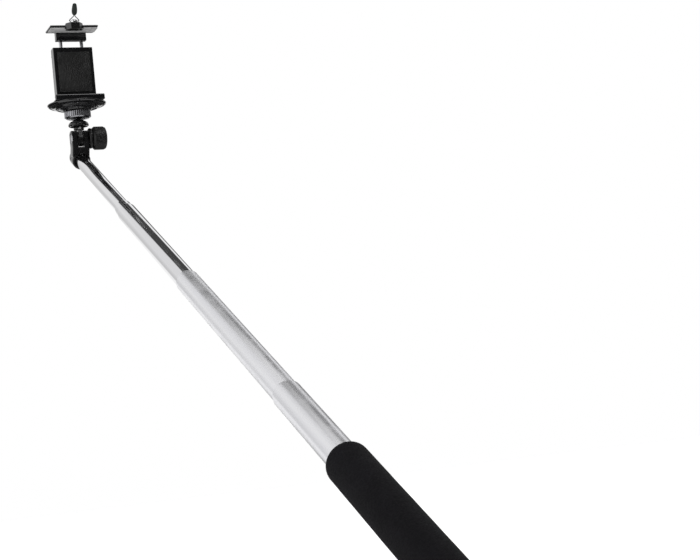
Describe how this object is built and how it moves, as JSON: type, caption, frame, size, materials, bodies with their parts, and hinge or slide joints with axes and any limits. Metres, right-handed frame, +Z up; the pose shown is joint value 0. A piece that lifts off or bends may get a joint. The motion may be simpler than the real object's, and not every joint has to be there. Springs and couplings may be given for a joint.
{
  "type": "selfie stick",
  "caption": "Telescopic hand stick: soft grip, five chrome tubes, tilting elbow with side knob, and a sprung clamp with two jaws for a phone.",
  "frame": {"origin": "middle of the hand grip, on the axis of the stick", "axes": "+Z up along the post of the phone clamp, +X along the long side of the phone towards the knob, -Y towards the user; the stick slopes down from the head towards -Y at 24.5 degrees"},
  "size_m": [0.05, 0.7331, 0.4613],
  "materials": {
    "chrome": "bright polished, fine lengthwise lines",
    "steel": "plain turned steel",
    "dark_nickel": "dark nickel, semi-bright",
    "brass": "plain turned brass",
    "grip_foam": "soft matte foam rubber",
    "black_plastic": "fine moulded texture",
    "gloss_black": "polished moulding",
    "grey_rubber": "matte",
    "black_rubber": "matte",
    "white_plastic": "acetal",
    "dipped_tab": "smooth dipped coating"
  },
  "bodies": {
    "handle": {"grip_sleeve": "grip_foam", "grip_end_cap": "black_plastic", "tube_5": "chrome", "tube_plug": "white_plastic"},
    "section_4": {"tube_4": "chrome", "friction_bush_4": "white_plastic"},
    "section_3": {"tube_3": "chrome", "friction_bush_3": "white_plastic"},
    "section_2": {"tube_2": "chrome", "friction_bush_2": "white_plastic"},
    "section_1": {"friction_bush_1": "white_plastic"},
    "elbow": {"tube_1": "chrome", "elbow_clevis": "black_plastic", "collar_pin": "steel", "hinge_nut": "dark_nickel", "friction_washer_left": "white_plastic", "friction_washer_right": "white_plastic", "knob_flange": "black_plastic"},
    "knob_body": {"knob": "black_plastic", "knob_stud": "steel"},
    "post": {"tilt_tongue": "black_plastic", "mount_stud": "steel", "umbrella_cap": "gloss_black"},
    "ring": {"lock_ring": "dark_nickel"},
    "clamp": {"base_dish": "gloss_black", "dish_insert": "brass", "dish_screw_left": "dark_nickel", "dish_screw_right": "dark_nickel", "lower_jaw": "gloss_black", "lower_pad": "black_rubber", "back_pad": "black_rubber", "spine_cover": "black_plastic", "cover_screw_1": "dark_nickel", "cover_screw_2": "dark_nickel", "cover_screw_3": "dark_nickel", "cover_screw_4": "dark_nickel", "jaw_spring_left": "steel", "jaw_spring_right": "steel"},
    "jaw": {"upper_jaw": "black_plastic", "upper_pad": "grey_rubber", "guide_rod_left": "steel", "guide_rod_right": "steel", "rod_clip_left": "steel", "rod_clip_right": "steel", "pull_stud": "chrome"},
    "bail": {"pull_bail": "dark_nickel", "pull_tab": "dipped_tab"}
  },
  "joints": [
    {"name": "tube_4_slide", "type": "slide", "parent": "handle", "child": "section_4", "axis": [0, 0.91, 0.4147], "range_m": [-0.2, 0.003]},
    {"name": "tube_3_slide", "type": "slide", "parent": "section_4", "child": "section_3", "axis": [0, 0.91, 0.4147], "range_m": [-0.166, 0.03]},
    {"name": "tube_2_slide", "type": "slide", "parent": "section_3", "child": "section_2", "axis": [0, 0.91, 0.4147], "range_m": [-0.008, 0.175]},
    {"name": "tube_1_slide", "type": "slide", "parent": "section_2", "child": "section_1", "axis": [0, 0.91, 0.4147], "range_m": [-0.143, 0.04]},
    {"name": "head_swivel", "type": "hinge", "parent": "section_1", "child": "elbow", "pos_m": [0, 0.49775, 0.22684], "axis": [0, 0.91, 0.4147], "continuous": true},
    {"name": "head_tilt", "type": "hinge", "parent": "elbow", "child": "post", "pos_m": [0, 0.63063, 0.30662], "axis": [1, 0, 0], "range_deg": [-75, 85]},
    {"name": "knob_turn", "type": "hinge", "parent": "elbow", "child": "knob_body", "pos_m": [0, 0.63063, 0.30662], "axis": [1, 0, 0], "continuous": true},
    {"name": "ring_turn", "type": "hinge", "parent": "post", "child": "ring", "pos_m": [0, 0.63063, 0.32662], "axis": [0, 0, 1], "continuous": true},
    {"name": "clamp_turn", "type": "hinge", "parent": "post", "child": "clamp", "pos_m": [0, 0.63063, 0.33362], "axis": [0, 0, 1], "continuous": true},
    {"name": "jaw_slide", "type": "slide", "parent": "clamp", "child": "jaw", "axis": [0, 0, 1], "range_m": [-0.0055, 0.02], "stiffness_N_per_m": 200, "springref_m": -0.015, "deforming": ["jaw_spring_left", "jaw_spring_right"]},
    {"name": "pull_fold", "type": "hinge", "parent": "jaw", "child": "bail", "pos_m": [0, 0.61113, 0.40452], "axis": [1, 0, 0], "range_deg": [-110, 50]}
  ]
}
